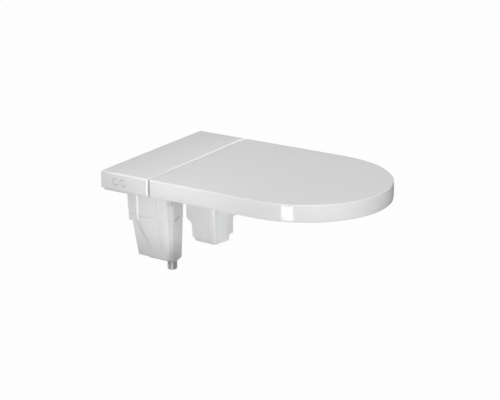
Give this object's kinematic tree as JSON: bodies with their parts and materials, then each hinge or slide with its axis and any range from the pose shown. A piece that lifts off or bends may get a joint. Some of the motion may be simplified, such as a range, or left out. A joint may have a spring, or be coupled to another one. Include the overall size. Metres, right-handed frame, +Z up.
{
  "type": "electric bidet seat",
  "caption": "Electric bidet seat: flat D-shaped lid and heated seat on a soft-close hinge, with a washing wand, dryer and two hanging legs.",
  "frame": {"origin": "midway between the two fixing bolts, on the plane of the pan's rim", "axes": "+X to the sitter's left, along the hinge line; -Y to the front tip of the seat; +Z up"},
  "size_m": [0.3731, 0.571, 0.227],
  "materials": {
    "white_gloss": "smooth glossy moulded plastic",
    "white_satin": "satin moulded plastic",
    "hinge_grey": "glass-filled plastic",
    "steel": "stainless",
    "plated_inlet": "nickel-plated brass",
    "rubber_grey": "soft rubber",
    "dowel_grey": "nylon",
    "works_white": "acetal",
    "works_dark": "dark moulded plastic",
    "circuit_green": "lacquered circuit board",
    "hose_blue": "silicone hose",
    "heater_steel": "pressed stainless sheet",
    "heater_foil": "film heater"
  },
  "bodies": {
    "base": {"rear_cover": "white_gloss", "base_plate": "white_satin", "mounting_bracket": "hinge_grey", "fixing_bolts": "steel", "expansion_dowels": "dowel_grey", "rim_pads": "rubber_grey", "hinge_block_left": "hinge_grey", "hinge_block_right": "hinge_grey", "hinge_pin_left": "steel", "hinge_pin_right": "steel", "seat_damper": "hinge_grey", "lid_damper": "hinge_grey", "water_leg_upper": "white_satin", "water_leg_lower": "white_satin", "electric_leg_upper": "white_satin", "electric_leg_lower": "white_satin", "leg_screws": "steel", "cover_screws": "steel", "hinge_block_screws": "steel", "water_inlet_connector": "plated_inlet", "inlet_strainer": "works_white", "inlet_valve": "works_white", "solenoid_coil": "works_dark", "flow_meter": "works_white", "water_heater": "heater_steel", "cold_water_hose": "hose_blue", "warm_water_hose": "hose_blue", "water_pump": "works_dark", "pump_hose": "hose_blue", "selector_valve": "works_white", "nozzle_guide": "white_satin", "wand_motor": "works_dark", "control_board": "circuit_green", "power_board": "circuit_green", "transformer": "works_dark", "mains_gland": "works_dark", "dryer_fan_housing": "white_satin", "dryer_motor": "works_dark", "dryer_duct": "white_satin", "dryer_heater": "heater_steel", "button_board": "circuit_green"},
    "wash_button": {"wash_button": "white_gloss"},
    "stop_button": {"stop_button": "white_gloss"},
    "fan_wheel": {"dryer_fan_wheel": "works_white"},
    "dryer_flap": {"dryer_flap": "white_satin"},
    "wand_outer": {"wand_outer_tube": "steel", "wand_rack": "works_white"},
    "wand_inner": {"wand_inner_tube": "steel", "nozzle_head": "works_white", "nozzle_shield": "white_satin"},
    "pinion": {"drive_pinion": "works_white"},
    "seat": {"seat_top_shell": "white_gloss", "seat_bottom_shell": "white_satin", "seat_heater": "heater_foil", "seat_bumpers": "rubber_grey", "seat_screws": "steel"},
    "lid": {"lid_shell": "white_gloss", "lid_hinge_brackets": "hinge_grey", "lid_bumpers": "rubber_grey", "lid_hinge_screws": "steel"}
  },
  "joints": [
    {"name": "seat_hinge", "type": "hinge", "parent": "base", "child": "seat", "pos_m": [0, -0.0605, 0.03], "axis": [1, 0, 0], "range_deg": [-95, 0]},
    {"name": "lid_hinge", "type": "hinge", "parent": "seat", "child": "lid", "pos_m": [0, -0.0605, 0.03], "axis": [-1, 0, 0], "range_deg": [0, 105]},
    {"name": "wash_press", "type": "slide", "parent": "base", "child": "wash_button", "axis": [1, 0, 0], "range_m": [0, 0.0012], "stiffness_N_per_m": 800},
    {"name": "stop_press", "type": "slide", "parent": "base", "child": "stop_button", "axis": [1, 0, 0], "range_m": [0, 0.0012], "stiffness_N_per_m": 800},
    {"name": "fan_spin", "type": "hinge", "parent": "base", "child": "fan_wheel", "pos_m": [0.05, 0.036, 0.015], "axis": [0, 0, 1], "continuous": true},
    {"name": "flap_swing", "type": "hinge", "parent": "base", "child": "dryer_flap", "pos_m": [0.048, -0.086, 0.0046], "axis": [1, 0, 0], "range_deg": [-70, 0]},
    {"name": "wand_slide", "type": "slide", "parent": "base", "child": "wand_outer", "axis": [0, -0.9659, -0.2588], "range_m": [0, 0.06]},
    {"name": "nozzle_slide", "type": "slide", "parent": "wand_outer", "child": "wand_inner", "axis": [0, -0.9659, -0.2588], "range_m": [0, 0.06]},
    {"name": "pinion_turn", "type": "hinge", "parent": "base", "child": "pinion", "pos_m": [0.01595, -0.01252, 0.00985], "axis": [0, -0.2588, 0.9659], "range_deg": [0, 573]}
  ],
  "couplings": [
    {"joint": "nozzle_slide", "follows": "wand_slide", "ratio": 1},
    {"joint": "pinion_turn", "follows": "wand_slide", "rad_per_m": 166.67}
  ]
}
